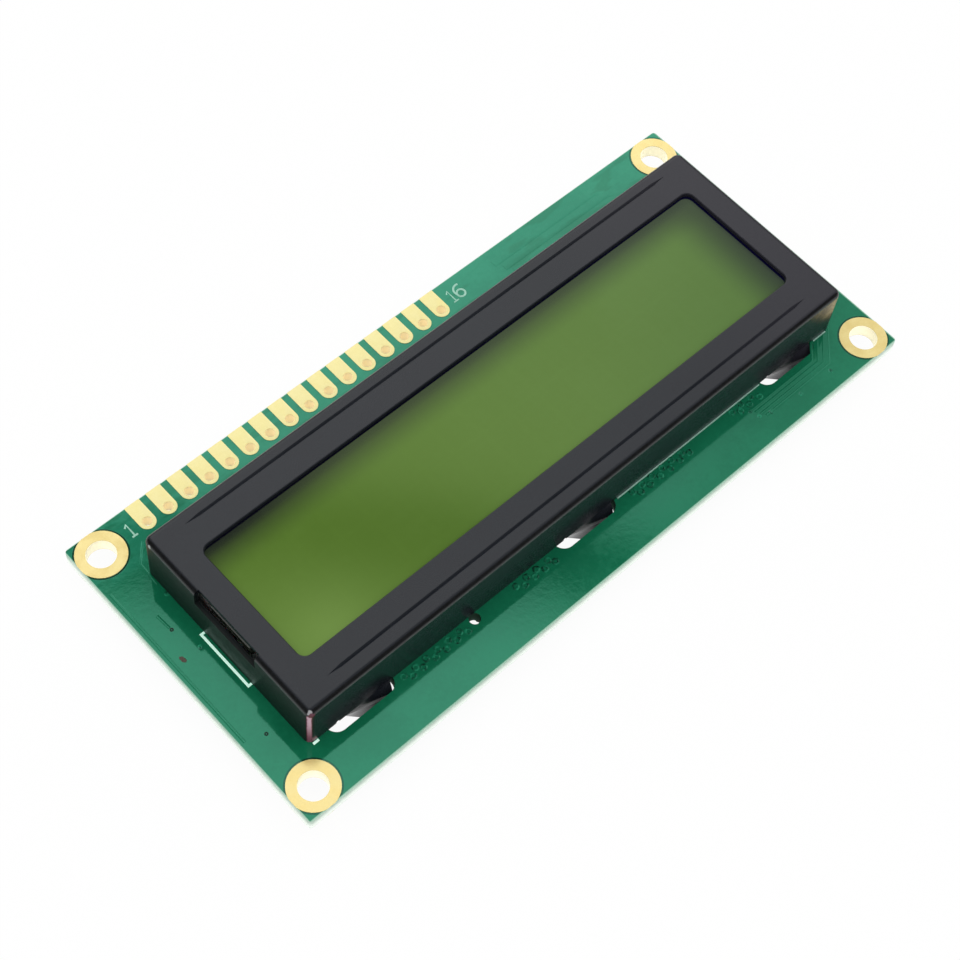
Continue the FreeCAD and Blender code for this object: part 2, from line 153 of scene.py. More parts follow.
def rampTo(tree, value, low, high, toLow=0.0, toHigh=1.0):
    wires = {"Value": value, "From Min": low, "From Max": high, "To Min": toLow, "To Max": toHigh}
    return addNode(tree, "MapRange", wires, interpolation_type="SMOOTHSTEP").outputs[0]


def fadeOut(tree, value, low, high):
    return rampTo(tree, value, low, high, 1.0, 0.0)


def millimetres(tree, coordinates):
    return addNode(tree, "VectorMath", {0: coordinates, "Scale": 1000.0}, operation="SCALE").outputs[0]


def axesOf(tree, coordinates):
    return addNode(tree, "SeparateXYZ", {0: millimetres(tree, coordinates)}).outputs


def apartFrom(tree, coordinates, centre):
    return addNode(tree, "VectorMath", {0: coordinates, 1: centre}, operation="DISTANCE").outputs["Value"]


def noiseAt(tree, coordinates, scale, detail, roughness=0.5):
    wires = {"Vector": coordinates, "Scale": scale, "Detail": detail, "Roughness": roughness}
    return addNode(tree, "TexNoise", wires).outputs[0]


def useGroup(tree, name, wires):
    return addNode(tree, "Group", wires, node_tree=groups[name]).outputs


def plateEdge(tree, place, corners, clear, reach):
    # corners, clear and reach each give left, right, front and rear in millimetres
    wires = {"Coordinates": place}
    for index, side in enumerate(("Left", "Right", "Front", "Rear")):
        wires[side] = corners[index]
        wires[side + " Clear"] = clear[index]
        wires[side + " Reach"] = reach[index]
    return useGroup(tree, "plateEdge", wires)["Inside"]


def startGroup(name, inputs, outputs):
    tree = bpy.data.node_groups.new(name, "ShaderNodeTree")
    for label, kind, value in inputs:
        socket = tree.interface.new_socket(name=label, in_out="INPUT", socket_type="NodeSocket" + kind)
        if value is not None:
            socket.default_value = value
    for label, kind in outputs:
        tree.interface.new_socket(name=label, in_out="OUTPUT", socket_type="NodeSocket" + kind)
    return tree, tree.nodes.new("NodeGroupInput").outputs, tree.nodes.new("NodeGroupOutput").inputs


variationLook = {"cloudDetail": 3.0, "grainDetail": 2.0, "contrast": (0.35, 0.65)}


def surfaceVariationGroup():
    # broad clouds and fine grain that shift a finish between two colours and two roughnesses
    look = variationLook
    tree, given, result = startGroup(
        "surfaceVariation",
        [
            ("Coordinates", "Vector", None),
            ("Cloud Scale", "Float", 0.3),
            ("Grain Scale", "Float", 8.0),
            ("Grain Share", "Float", 0.4),
            ("Low Color", "Color", (0.5, 0.5, 0.5, 1)),
            ("High Color", "Color", (0.6, 0.6, 0.6, 1)),
            ("Low Roughness", "Float", 0.4),
            ("High Roughness", "Float", 0.6),
        ],
        [("Color", "Color"), ("Roughness", "Float"), ("Height", "Float")],
    )
    place = millimetres(tree, given["Coordinates"])
    cloud = noiseAt(tree, place, given["Cloud Scale"], look["cloudDetail"])
    grain = noiseAt(tree, place, given["Grain Scale"], look["grainDetail"])
    share = rampTo(tree, mixValue(tree, given["Grain Share"], cloud, grain), *look["contrast"])
    rough = mixValue(tree, share, given["Low Roughness"], given["High Roughness"])
    tree.links.new(mixColor(tree, share, given["Low Color"], given["High Color"]), result["Color"])
    tree.links.new(rough, result["Roughness"])
    tree.links.new(grain, result["Height"])
    return tree


def ringBandGroup():
    # a band round each of the four points that mirror one corner point
    tree, given, result = startGroup(
        "ringBand",
        [
            ("Coordinates", "Vector", None),
            ("Centre X", "Float", 37.5),
            ("Centre Y", "Float", 15.5),
            ("Inner", "Float", 2.6),
            ("Outer", "Float", 2.8),
            ("Softness", "Float", 0.04),
        ],
        [("Mask", "Float")],
    )
    place = axesOf(tree, given["Coordinates"])
    offX = mathNode(tree, "SUBTRACT", mathNode(tree, "ABSOLUTE", place[0]), given["Centre X"])
    offY = mathNode(tree, "SUBTRACT", mathNode(tree, "ABSOLUTE", place[1]), given["Centre Y"])
    distance = mathNode(tree, "SQRT", mathNode(tree, "ADD", times(tree, offX, offX), times(tree, offY, offY)))
    innerStart = mathNode(tree, "SUBTRACT", given["Inner"], given["Softness"])
    outerEnd = mathNode(tree, "ADD", given["Outer"], given["Softness"])
    inside = rampTo(tree, distance, innerStart, given["Inner"])
    tree.links.new(times(tree, inside, fadeOut(tree, distance, given["Outer"], outerEnd)), result["Mask"])
    return tree


layersLook = {"stretch": (0.9, 0.9, 7.0), "scale": 1.3, "detail": 4.0, "roughness": 0.65}


def cutLayersGroup():
    # where a sawn or drilled side of the board shows its core, with the streaks of its glass layers
    look = layersLook
    tree, given, result = startGroup(
        "cutLayers",
        [("Coordinates", "Vector", None), ("Lower", "Float", 0.03), ("Upper", "Float", 1.57)],
        [("Core", "Float"), ("Streaks", "Float")],
    )
    height = axesOf(tree, given["Coordinates"])[2]
    above = mathNode(tree, "GREATER_THAN", height, given["Lower"])
    below = mathNode(tree, "LESS_THAN", height, given["Upper"])
    tree.links.new(times(tree, above, below), result["Core"])
    wires = {"Vector": millimetres(tree, given["Coordinates"]), "Scale": look["stretch"]}
    stretched = addNode(tree, "Mapping", wires).outputs[0]
    streaks = noiseAt(tree, stretched, look["scale"], look["detail"], look["roughness"])
    tree.links.new(streaks, result["Streaks"])
    return tree


def plateEdgeGroup():
    # 1 well inside a rectangle, falling to 0 at its sides, with a ramp of its own for each side
    sides = (("Left", 0, 1), ("Right", 0, -1), ("Front", 1, 1), ("Rear", 1, -1))
    inputs = [("Coordinates", "Vector", None)]
    for side, axis, sign in sides:
        inputs += [(side, "Float", 0.0), (side + " Clear", "Float", 0.1), (side + " Reach", "Float", 0.5)]
    tree, given, result = startGroup("plateEdge", inputs, [("Inside", "Float")])
    place = axesOf(tree, given["Coordinates"])
    shares = []
    for side, axis, sign in sides:
        order = (place[axis], given[side]) if sign > 0 else (given[side], place[axis])
        depth = mathNode(tree, "SUBTRACT", *order)
        shares.append(rampTo(tree, depth, given[side + " Clear"], given[side + " Reach"]))
    tree.links.new(times(tree, *shares), result["Inside"])
    return tree


cellLook = {"dotsAcross": 5.0, "dotsDown": 8.0, "cellsEachSide": 8.0, "dotGap": 0.05}


def characterCellGroup():
    # the faint dots of two rows of characters inside the display
    look = cellLook
    tree, given, result = startGroup(
        "characterCells",
        [
            ("Coordinates", "Vector", None),
            ("Centre X", "Float", 0.0),
            ("Centre Y", "Float", 0.0),
            ("Cell Pitch", "Float", 3.55),
            ("Row Pitch", "Float", 5.95),
            ("Dot Pitch X", "Float", 0.6),
            ("Dot Pitch Y", "Float", 0.7),
        ],
        [("Dots", "Float")],
    )
    place = axesOf(tree, given["Coordinates"])
    x = mathNode(tree, "SUBTRACT", place[0], given["Centre X"])
    y = mathNode(tree, "SUBTRACT", place[1], given["Centre Y"])
    cellX = mathNode(tree, "FLOORED_MODULO", x, given["Cell Pitch"])
    cellY = mathNode(tree, "FLOORED_MODULO", y, given["Row Pitch"])
    dotX = mathNode(tree, "FLOORED_MODULO", cellX, given["Dot Pitch X"])
    dotY = mathNode(tree, "FLOORED_MODULO", cellY, given["Dot Pitch Y"])
    halfRow = times(tree, given["Cell Pitch"], look["cellsEachSide"])
    mask = times(
        tree,
        mathNode(tree, "GREATER_THAN", dotX, look["dotGap"]),
        mathNode(tree, "GREATER_THAN", dotY, look["dotGap"]),
        mathNode(tree, "LESS_THAN", cellX, times(tree, given["Dot Pitch X"], look["dotsAcross"])),
        mathNode(tree, "LESS_THAN", cellY, times(tree, given["Dot Pitch Y"], look["dotsDown"])),
        mathNode(tree, "LESS_THAN", mathNode(tree, "ABSOLUTE", x), halfRow),
        mathNode(tree, "LESS_THAN", mathNode(tree, "ABSOLUTE", y), given["Row Pitch"]),
    )
    tree.links.new(mask, result["Dots"])
    return tree


groups = {
    "variation": surfaceVariationGroup(),
    "ringBand": ringBandGroup(),
    "cutLayers": cutLayersGroup(),
    "characterCells": characterCellGroup(),
    "plateEdge": plateEdgeGroup(),
}
print("node groups built:", len(groups))


# materials

plainGrainShare = 0.4
noColor = (0, 0, 0)


def startMaterial(name, look):
    material = bpy.data.materials.new(name)
    material.use_nodes = True
    tree = material.node_tree
    tree.nodes.clear()
    shader = tree.nodes.new("ShaderNodeBsdfPrincipled")
    output = tree.nodes.new("ShaderNodeOutputMaterial")
    tree.links.new(shader.outputs[0], output.inputs["Surface"])
    for socket, value in look.get("shader", {}).items():
        shader.inputs[socket].default_value = value
    place = tree.nodes.new("ShaderNodeTexCoord").outputs["Object"]
    return material, tree, shader, place


def addVariation(tree, place, look):
    wires = {
        "Coordinates": place,
        "Cloud Scale": look["cloud"],
        "Grain Scale": look["grain"],
        "Grain Share": look.get("grainShare", plainGrainShare),
        "Low Color": opaque(look["low"]),
        "High Color": opaque(look["high"]),
        "Low Roughness": look["rough"][0],
        "High Roughness": look["rough"][1],
    }
    return useGroup(tree, "variation", wires)


def linkShader(tree, shader, look, color, rough, height):
    wires = {"Height": height, "Strength": look["bump"], "Distance": look["bumpDepth"] * mm}
    bump = addNode(tree, "Bump", wires).outputs[0]
    for value, socket in ((color, "Base Color"), (rough, "Roughness"), (bump, "Normal")):
        tree.links.new(value, shader.inputs[socket])


def variedFinish(name, look):
    material, tree, shader, place = startMaterial(name, look)
    varied = addVariation(tree, place, look)
    linkShader(tree, shader, look, varied["Color"], varied["Roughness"], varied["Height"])
    return material


maskLook = {
    "low": (0.0046, 0.128, 0.059), "high": (0.0076, 0.156, 0.074), "cloud": 0.16, "grain": 2.2,
    "grainShare": 0.3, "rough": (0.05, 0.09), "bump": 0.10, "bumpDepth": 0.02,
    "coreUpper": (0.36, 0.455, 0.385), "coreLitLower": (0.83, 0.89, 0.83), "coreFade": (0.1, 1.5),
    "coreStreak": (0.90, 0.94, 0.86), "streakFrom": (0.45, 0.75), "streakShare": 0.6,
    "coreRough": 0.7, "edgePaintedGlow": (0.34, 0.30, 0.31),
    "outline": (-40.0, 40.0, -18.0, 18.0),
    "slotClear": (0.4, 0.4, 0.4, 0.4), "slotReach": (0.6, 0.6, 0.6, 0.6), "slotWall": (0.030, 0.050, 0.028),
    "rimClear": (0.03, 0.04, 0.06, 0.02), "rimReach": (0.14, 0.17, 0.20, 0.08),
    "rimColor": (0.40, 0.60, 0.47), "openingInner": 2.5, "openingOuter": 2.72,
    "openingColor": (0.003, 0.040, 0.020),
    "pourSheenTint": (2.9, 1.40, 1.66), "pourSheenPatchTint": (2.0, 1.12, 1.22), "pourSheenFrom": (11.5, 13.0),
    "patchFrom": (0.50, 0.62), "patchTurn": (0, 0, 0.25), "patchStretch": (0.22, 0.8, 1), "patchDetail": 2.0,
    "shader": {"IOR": 1.81, "Specular Tint": (0.32, 1.0, 0.74, 1), "Emission Strength": 1.0},
}


def solderMaskFinish():
    # green mask, lighter over the copper area at the rear, where the lighter tint is partly painted sheen,
    # with the bare core on every cut side
    look = maskLook
    material, tree, shader, place = startMaterial("solderMask", look)
    varied = addVariation(tree, place, look)
    spot = axesOf(tree, place)
    layers = useGroup(tree, "cutLayers", {"Coordinates": place})
    band = {"Coordinates": place, "Inner": look["openingInner"], "Outer": look["openingOuter"]}
    opening = useGroup(tree, "ringBand", band)["Mask"]
    stretch = {
        "Vector": millimetres(tree, place), "Rotation": look["patchTurn"], "Scale": look["patchStretch"],
    }
    patches = noiseAt(tree, addNode(tree, "Mapping", stretch).outputs[0], 1.0, look["patchDetail"])
    # the rear area is lighter: partly the copper under the mask, partly painted sheen
    pourSheenTint = mixColor(tree, rampTo(tree, patches, *look["patchFrom"]), look["pourSheenTint"], look["pourSheenPatchTint"])
    overPourSheen = tintBy(tree, varied["Color"], pourSheenTint)
    coating = mixColor(tree, rampTo(tree, spot[1], *look["pourSheenFrom"]), varied["Color"], overPourSheen)
    coating = mixColor(tree, opening, coating, look["openingColor"])
    covered = plateEdge(tree, place, look["outline"], look["rimClear"], look["rimReach"])
    coating = mixColor(tree, covered, look["rimColor"], coating)
    # the cut side is darker at the top and paler towards the lower face: the paler part is painted light
    core = mixColor(tree, fadeOut(tree, spot[2], *look["coreFade"]), look["coreUpper"], look["coreLitLower"])
    streaks = rampTo(tree, layers["Streaks"], *look["streakFrom"], 0.0, look["streakShare"])
    core = mixColor(tree, streaks, core, look["coreStreak"])
    # the cut sides inside the board outline, in the slots, are darkened: painted shade
    within = plateEdge(tree, place, look["outline"], look["slotClear"], look["slotReach"])
    core = mixColor(tree, within, core, look["slotWall"])
    # the outer cut sides glow a little: a painted glow standing for light through the board
    outerSide = times(tree, layers["Core"], opposite(tree, within))
    lit = tintBy(tree, core, look["edgePaintedGlow"])
    tree.links.new(mixColor(tree, outerSide, noColor, lit), shader.inputs["Emission Color"])
    bare = mathNode(tree, "MAXIMUM", layers["Core"], opposite(tree, covered))
    rough = mixValue(tree, bare, varied["Roughness"], look["coreRough"])
    height = mathNode(tree, "SUBTRACT", varied["Height"], opening)
    linkShader(tree, shader, look, mixColor(tree, layers["Core"], coating, core), rough, height)
    return material


displayLook = {
    "low": (0.069, 0.139, 0.016), "high": (0.077, 0.151, 0.020), "rightTint": (0.97, 0.98, 1.95),
    "cloud": 0.05, "grain": 1.2, "grainShare": 0.15, "rough": (0.09, 0.11), "bump": 0.02, "bumpDepth": 0.01,
    "window": (-31.975, 32.725, -7.66, 7.04),
    "softClear": (-1.0, 0.0, -1.0, 0.0), "softReach": (-0.9, 6.0, -0.9, 4.2), "softShade": (0.18, 0.13, 0.62),
    "hardClear": (-1.0, 0.15, -1.0, 0.10), "hardReach": (-0.9, 0.80, -0.9, 1.50),
    "hardShade": (0.12, 0.04, 0.80), "dotShade": 0.985,
    "shader": {"IOR": 1.576, "Specular Tint": (0.70, 1.0, 0.36, 1)},
}


def displayFinish():
    # yellow green, bluer to the right, with a soft and a hard shade along the right and rear edges
    look = displayLook
    material, tree, shader, place = startMaterial("displayFilm", look)
    varied = addVariation(tree, place, look)
    left, right, front, rear = look["window"]
    tinted = tintBy(tree, varied["Color"], look["rightTint"])
    color = mixColor(tree, rampTo(tree, axesOf(tree, place)[0], left, right), varied["Color"], tinted)
    for name in ("soft", "hard"):
        inside = plateEdge(tree, place, look["window"], look[name + "Clear"], look[name + "Reach"])
        color = mixColor(tree, inside, tintBy(tree, color, look[name + "Shade"]), color)
    wires = {"Coordinates": place, "Centre X": (left + right) / 2, "Centre Y": (front + rear) / 2}
    dots = useGroup(tree, "characterCells", wires)["Dots"]
    dotted = mixColor(tree, dots, color, tintBy(tree, color, [look["dotShade"]] * 3))
    linkShader(tree, shader, look, dotted, varied["Roughness"], varied["Height"])
    return material


paintLook = {
    "low": (0.0112, 0.0135, 0.0182), "high": (0.0142, 0.0168, 0.0222), "cloud": 0.12, "grain": 14.0,
    "rough": (0.24, 0.30), "bump": 0.10, "bumpDepth": 0.006,
    "outline": (-35.26, 35.84, -12.26, 11.44), "noise": (1.6, 4.0), "unevenFrom": (0.3, 0.7),
    "sheenRightFrom": (12.0, 36.0), "sheenRightColor": (0.0220, 0.0215, 0.0290),
    "wallTop": (7.2, 7.7), "leftWithin": (0.3, 0.9), "leftRough": (0.42, 0.48),
    "leftWallShade": (0.0035, 0.0070, 0.0070),
    "bendFrom": (7.36, 7.46), "patchFrom": (0.30, 0.62),
    "creaseClear": (0.34, 0.34, 0.30, 0.30), "creaseReach": (0.50, 0.50, 0.46, 0.46),
    "creaseColor": (0.0015, 0.0020, 0.0022), "creaseShare": (0.8, 1.0),
    "bendClear": (0.03, 0.03, 0.03, 0.03), "bendReach": (0.13, 0.10, 0.10, 0.10),
    "bendColor": (0.018, 0.034, 0.030), "bendShare": (0.35, 1.0),
    "thinReach": (0.3, 2.6), "thinFrom": (4.4, 5.4), "thinTop": (7.3, 7.5), "thinWithin": (0.3, 0.7),
    "thinPaintAndReflectionColor": (0.34, 0.28, 0.185),
    "cornerHighlightReach": (0.445, 0.535), "cornerHighlightRise": (2.2, 6.2), "cornerHighlightTop": (7.25, 7.5), "cornerHighlightUneven": 0.012,
    "cornerHighlightLow": (0.26, 0.09, 0.14), "cornerHighlightHigh": (0.60, 0.39, 0.49), "cornerHighlightRim": (0.10, 0.012, 0.030),
    "darkFrom": (0.0, 0.35), "highlightFrom": (0.3, 1.0), "spotUneven": 0.12, "spotCore": 0.6,
    "paintedLightSpots": (
        ((-34.62, -12.22, 2.15), 0.40, (0.18, 0.022, 0.055)),
        ((-34.98, -11.98, 7.86), 0.26, (0.34, 0.34, 0.35)),
        ((-34.80, -12.10, 7.42), 0.34, (0.10, 0.015, 0.035)),
        ((-34.98, 11.16, 7.82), 0.19, (0.30, 0.33, 0.31)),
        ((-35.22, 10.4, 7.62), 0.16, (0.30, 0.33, 0.31)),
        ((-34.95, -0.2, 7.90), 0.14, (0.22, 0.24, 0.24)),
    ),
    "shader": {"IOR": 1.46},
}


def bezelPaintFinish():
    # black paint, paler to the right; at the right end of the front wall thin paint and a painted reflection;
    # at the front left corner a painted highlight drawn as worn paint
    look = paintLook
    material, tree, shader, place = startMaterial("blackPaint", look)
    varied = addVariation(tree, place, look)
    spot = axesOf(tree, place)
    left, right, front = look["outline"][:3]
    fromLeft = mathNode(tree, "SUBTRACT", spot[0], left)
    fromFront = mathNode(tree, "SUBTRACT", spot[1], front)
    fromRight = mathNode(tree, "SUBTRACT", right, spot[0])
    noise = noiseAt(tree, millimetres(tree, place), *look["noise"])

    def uneven(low, high):
        return rampTo(tree, noise, *look["unevenFrom"], low, high)

    # paler towards the right end: painted sheen
    color = mixColor(tree, rampTo(tree, spot[0], *look["sheenRightFrom"]), varied["Color"], look["sheenRightColor"])
    # a painted dark reflection and a paler painted highlight line along the bends
    onBend = rampTo(tree, spot[2], *look["bendFrom"])
    for name in ("crease", "bend"):
        inside = plateEdge(tree, place, look["outline"], look[name + "Clear"], look[name + "Reach"])
        patchy = rampTo(tree, noise, *look["patchFrom"], *look[name + "Share"])
        band = times(tree, opposite(tree, inside), onBend, patchy)
        color = mixColor(tree, band, color, look[name + "Color"])
    # the left wall is darker and rougher: the darker colour is painted shade
    onLeft = fadeOut(tree, fromLeft, *look["leftWithin"])
    onLeft = times(tree, fadeOut(tree, spot[2], *look["wallTop"]), onLeft)
    color = mixColor(tree, onLeft, color, look["leftWallShade"])
    # a beige patch at the right end of the front wall: partly thin paint, partly a painted reflection of the
    # gold ring in front of it
    thin = times(
        tree, fadeOut(tree, fromRight, *look["thinReach"]), rampTo(tree, spot[2], *look["thinFrom"]),
        fadeOut(tree, spot[2], *look["thinTop"]), fadeOut(tree, fromFront, *look["thinWithin"]),
    )
    color = mixColor(tree, thin, color, look["thinPaintAndReflectionColor"])
    # the front left corner: a painted highlight drawn as pale primer inside a dark red rim, and small painted
    # highlight and glint spots along the left edge
    away = mathNode(tree, "ADD", fromLeft, fromFront)
    away = mathNode(tree, "ADD", away, uneven(-look["cornerHighlightUneven"], look["cornerHighlightUneven"]))
    cornerHighlight = times(tree, fadeOut(tree, away, *look["cornerHighlightReach"]), fadeOut(tree, spot[2], *look["cornerHighlightTop"]))
    highlightColor = mixColor(tree, rampTo(tree, spot[2], *look["cornerHighlightRise"]), look["cornerHighlightLow"], look["cornerHighlightHigh"])
    color = mixColor(tree, rampTo(tree, cornerHighlight, *look["darkFrom"]), color, look["cornerHighlightRim"])
    color = mixColor(tree, rampTo(tree, cornerHighlight, *look["highlightFrom"]), color, highlightColor)
    spotRagged = uneven(-look["spotUneven"], look["spotUneven"])
    for centre, radius, shade in look["paintedLightSpots"]:
        apart = mathNode(tree, "ADD", apartFrom(tree, millimetres(tree, place), centre), spotRagged)
        color = mixColor(tree, fadeOut(tree, apart, radius * look["spotCore"], radius), color, shade)
    rough = mixValue(tree, onLeft, varied["Roughness"], uneven(*look["leftRough"]))
    linkShader(tree, shader, look, color, rough, varied["Height"])
    return material


goldLooks = {
    "goldPlate": {
        "low": (0.86, 0.685, 0.262), "high": (0.93, 0.775, 0.335), "cloud": 0.7, "grain": 9.0,
        "rough": (0.15, 0.22), "metallic": 0.34, "bump": 0.04, "bumpDepth": 0.01,
        "bore": 1.53, "boreLitColor": (1.0, 0.96, 0.80), "borePaintedGlow": (0.25, 0.235, 0.17),
        "shader": {"Emission Strength": 1.0},
    },
    "padGold": {
        "low": (0.90, 0.80, 0.34), "high": (0.96, 0.87, 0.42), "cloud": 0.9, "grain": 10.0,
        "rough": (0.30, 0.42), "metallic": 0.36, "bump": 0.05, "bumpDepth": 0.01,
        "boreLitColor": (0.96, 0.82, 0.53), "borePaintedGlow": (0.17, 0.165, 0.12),
        "shader": {"Emission Strength": 1.0},
    },
}


def goldFinish(name, look):
    # thin gold over copper; inside the holes a paler colour and a painted glow stand for the light coming
    # from both ends
    material, tree, shader, place = startMaterial(name, look)
    varied = addVariation(tree, place, look)
    height = axesOf(tree, place)[2]
    above = mathNode(tree, "GREATER_THAN", height, 0.0)
    inside = times(tree, above, mathNode(tree, "LESS_THAN", height, boardTop))
    if "bore" in look:
        # an inner radius below zero takes in the whole disc
        disc = {"Coordinates": place, "Inner": -1.0, "Outer": look["bore"]}
        inside = times(tree, inside, useGroup(tree, "ringBand", disc)["Mask"])
    metallic = times(tree, opposite(tree, inside), look["metallic"])
    tree.links.new(metallic, shader.inputs["Metallic"])
    tree.links.new(mixColor(tree, inside, noColor, look["borePaintedGlow"]), shader.inputs["Emission Color"])
    color = mixColor(tree, inside, varied["Color"], look["boreLitColor"])
    linkShader(tree, shader, look, color, varied["Roughness"], varied["Height"])
    return material


legendLook = {
    "low": (0.86, 0.98, 0.92), "high": (0.92, 1.0, 0.96), "cloud": 0.8, "grain": 6.0, "rough": (0.5, 0.65),
    "bump": 0.2, "bumpDepth": 0.01, "thinFrom": (-32.0, -30.0), "thinInk": (0.34, 0.56, 0.47),
    "glow": (0.03, 0.25, 0.15), "shader": {"Emission Strength": 1.0},
}


def printedInkFinish():
    # full white at the left end of the board, and a thinner, greener print to the right of it
    look = legendLook
    material, tree, shader, place = startMaterial("legendInk", look)
    varied = addVariation(tree, place, look)
    thin = rampTo(tree, axesOf(tree, place)[0], *look["thinFrom"])
    # the white print at the left end has a painted glow
    tree.links.new(mixColor(tree, thin, look["glow"], noColor), shader.inputs["Emission Color"])
    color = mixColor(tree, thin, varied["Color"], look["thinInk"])
    linkShader(tree, shader, look, color, varied["Roughness"], varied["Height"])
    return material


# each plain finish: its two colours, how many clouds and grains go to a millimetre, its roughness and relief
finishLooks = {
    # thin print, with a faint painted glow
    "thinInk": {
        "low": (0.26, 0.46, 0.37), "high": (0.40, 0.64, 0.53), "cloud": 1.2, "grain": 6.0,
        "rough": (0.5, 0.65), "bump": 0.2, "bumpDepth": 0.01,
        "shader": {"Emission Color": (0.02, 0.08, 0.05, 1), "Emission Strength": 1.0},
    },
    "clearGlass": {
        "low": (0.80, 0.90, 0.84), "high": (0.84, 0.93, 0.88), "cloud": 0.2, "grain": 3.0,
        "rough": (0.01, 0.03), "bump": 0.02, "bumpDepth": 0.005,
        "shader": {"IOR": 1.52, "Transmission Weight": 0.9},
    },
    # clear resin drawn near black: painted shade of the notch it sits in
    "endResinPaintedShade": {
        "low": (0.012, 0.016, 0.012), "high": (0.030, 0.036, 0.026), "cloud": 0.8, "grain": 0.9,
        "rough": (0.08, 0.16), "bump": 0.3, "bumpDepth": 0.10,
        "shader": {"IOR": 1.49, "Transmission Weight": 0.3},
    },
    "sealResin": {
        "low": (0.30, 0.34, 0.26), "high": (0.36, 0.40, 0.31), "cloud": 0.6, "grain": 5.0,
        "rough": (0.4, 0.55), "bump": 0.2, "bumpDepth": 0.01,
    },
    "liquidLayer": {
        "low": (0.40, 0.50, 0.18), "high": (0.46, 0.56, 0.23), "cloud": 0.1, "grain": 3.0,
        "rough": (0.2, 0.3), "bump": 0.05, "bumpDepth": 0.005,
    },
    "rearFilm": {
        "low": (0.36, 0.43, 0.20), "high": (0.42, 0.49, 0.25), "cloud": 0.2, "grain": 5.0,
        "rough": (0.25, 0.4), "bump": 0.05, "bumpDepth": 0.005,
    },
    "whiteFilm": {
        "low": (0.84, 0.84, 0.82), "high": (0.92, 0.92, 0.90), "cloud": 0.3, "grain": 6.0,
        "rough": (0.45, 0.6), "bump": 0.05, "bumpDepth": 0.005,
    },
    "guideAcrylic": {
        "low": (0.86, 0.92, 0.84), "high": (0.90, 0.95, 0.89), "cloud": 0.2, "grain": 4.0,
        "rough": (0.05, 0.12), "bump": 0.05, "bumpDepth": 0.005,
        "shader": {"IOR": 1.49, "Transmission Weight": 0.85},
    },
    "trayPlastic": {
        "low": (0.78, 0.78, 0.74), "high": (0.86, 0.86, 0.83), "cloud": 0.3, "grain": 7.0,
        "rough": (0.4, 0.55), "bump": 0.15, "bumpDepth": 0.01,
        "shader": {"Subsurface Weight": 0.1, "Subsurface Scale": 0.001},
    },
    "ledBoard": {
        "low": (0.74, 0.76, 0.68), "high": (0.84, 0.85, 0.80), "cloud": 0.5, "grain": 6.0,
        "rough": (0.3, 0.45), "bump": 0.1, "bumpDepth": 0.01,
    },
    "ledPackage": {
        "low": (0.86, 0.82, 0.60), "high": (0.92, 0.90, 0.74), "cloud": 0.8, "grain": 6.0,
        "rough": (0.3, 0.45), "bump": 0.1, "bumpDepth": 0.01,
    },
    "brightTin": {
        "low": (0.58, 0.59, 0.60), "high": (0.72, 0.72, 0.71), "cloud": 1.2, "grain": 7.0,
        "rough": (0.18, 0.36), "bump": 0.35, "bumpDepth": 0.02, "shader": {"Metallic": 1.0},
    },
    "stripRubber": {
        "low": (0.30, 0.29, 0.27), "high": (0.62, 0.60, 0.55), "cloud": 3.0, "grain": 9.0,
        "rough": (0.6, 0.75), "bump": 0.2, "bumpDepth": 0.02,
    },
    "blackResin": {
        "low": (0.010, 0.010, 0.011), "high": (0.017, 0.017, 0.018), "cloud": 0.35, "grain": 1.2,
        "rough": (0.12, 0.24), "bump": 0.35, "bumpDepth": 0.12, "shader": {"IOR": 1.5},
    },
    "bareSilicon": {
        "low": (0.20, 0.21, 0.24), "high": (0.28, 0.29, 0.33), "cloud": 1.0, "grain": 9.0,
        "rough": (0.1, 0.2), "bump": 0.05, "bumpDepth": 0.005, "shader": {"Metallic": 0.6},
    },
    "resistorGlaze": {
        "low": (0.012, 0.012, 0.014), "high": (0.028, 0.028, 0.032), "cloud": 1.0, "grain": 9.0,
        "rough": (0.25, 0.4), "bump": 0.2, "bumpDepth": 0.01,
    },
    "capacitorCeramic": {
        "low": (0.36, 0.25, 0.15), "high": (0.48, 0.35, 0.22), "cloud": 1.0, "grain": 8.0,
        "rough": (0.35, 0.5), "bump": 0.2, "bumpDepth": 0.01,
    },
    # mask on the holes, mottled light and dark: painted glints and painted shade
    "viaMaskGlintsAndShade": {
        "low": (0.002, 0.034, 0.016), "high": (0.014, 0.235, 0.118), "cloud": 1.7, "grain": 3.0,
        "rough": (0.06, 0.14), "bump": 0.3, "bumpDepth": 0.03,
        "shader": {"IOR": 1.81, "Specular Tint": (0.32, 1.0, 0.74, 1)},
    },
    "viaShadow": {
        "low": (0.002, 0.018, 0.010), "high": (0.004, 0.030, 0.016), "cloud": 1.0, "grain": 8.0,
        "rough": (0.3, 0.45), "bump": 0.1, "bumpDepth": 0.01,
    },
    "fluxBrown": {
        "low": (0.060, 0.045, 0.030), "high": (0.11, 0.085, 0.060), "cloud": 2.0, "grain": 9.0,
        "rough": (0.4, 0.6), "bump": 0.2, "bumpDepth": 0.02,
    },
}
finishes = {name: variedFinish(name, look) for name, look in finishLooks.items()}
finishes.update({name: goldFinish(name, look) for name, look in goldLooks.items()})
finishes["legendInk"] = printedInkFinish()
finishes["blackPaint"] = bezelPaintFinish()
finishes["solderMask"] = solderMaskFinish()
finishes["displayFilm"] = displayFinish()

